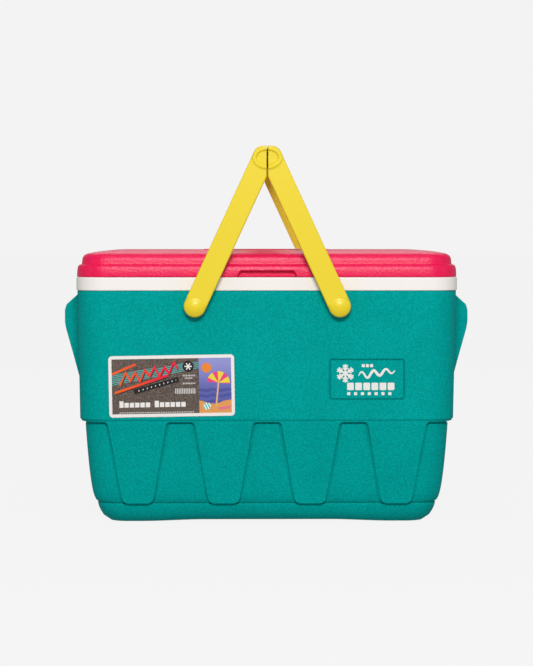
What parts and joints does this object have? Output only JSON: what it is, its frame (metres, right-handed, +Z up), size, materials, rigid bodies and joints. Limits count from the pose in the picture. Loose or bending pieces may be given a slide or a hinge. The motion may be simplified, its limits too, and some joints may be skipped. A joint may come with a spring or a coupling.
{
  "type": "picnic cooler",
  "caption": "Insulated picnic basket cooler: moulded body with end grips, white liner rim, lift-off lid and twin swing handles that meet over the middle.",
  "frame": {"origin": "on the surface the cooler stands on, under the middle of the body", "axes": "+Z up, the front with the label faces -Y, +X runs from the label's end to the emblem's end"},
  "size_m": [0.4874, 0.3134, 0.4474],
  "materials": {
    "teal_plastic": "moulded polyethylene with a fine pebble grain, satin",
    "white_plastic": "smooth warm white liner plastic, satin",
    "pink_plastic": "moulded polyethylene with a fine pebble grain, satin",
    "yellow_plastic": "smooth injection moulded plastic, semi-gloss",
    "grey_plastic": "self-lubricating bearing plastic",
    "plated_steel": "zinc-plated steel",
    "insulating_foam": "rigid insulating foam, pale cream, fine open cells",
    "printed_label": "printed vinyl sticker with a white border"
  },
  "bodies": {
    "cooler_body": {"body_shell": "teal_plastic", "body_foam": "insulating_foam", "inner_liner": "white_plastic", "base_fill_plug": "teal_plastic", "front_label": "printed_label", "pivot_bush_left_front": "grey_plastic", "pivot_bush_left_rear": "grey_plastic", "pivot_bush_right_front": "grey_plastic", "pivot_bush_right_rear": "grey_plastic"},
    "lid": {"lid_shell": "pink_plastic", "lid_foam": "insulating_foam", "lid_liner": "white_plastic", "lid_fill_plug": "white_plastic"},
    "left_handle": {"left_handle": "yellow_plastic", "pivot_pin_left_front": "plated_steel", "pivot_pin_left_rear": "plated_steel", "pin_clip_left_front": "plated_steel", "pin_clip_left_rear": "plated_steel"},
    "right_handle": {"right_handle": "yellow_plastic", "pivot_pin_right_front": "plated_steel", "pivot_pin_right_rear": "plated_steel", "pin_clip_right_front": "plated_steel", "pin_clip_right_rear": "plated_steel"}
  },
  "joints": [
    {"name": "left_handle_swing", "type": "hinge", "parent": "cooler_body", "child": "left_handle", "pos_m": [-0.0853, 0, 0.259], "axis": [0, -1, 0], "range_deg": [0, 152]},
    {"name": "right_handle_swing", "type": "hinge", "parent": "cooler_body", "child": "right_handle", "pos_m": [0.0853, 0, 0.259], "axis": [0, 1, 0], "range_deg": [0, 152]},
    {"name": "lid_lift", "type": "slide", "parent": "cooler_body", "child": "lid", "axis": [0, 0, 1], "range_m": [0, 0.08]}
  ]
}
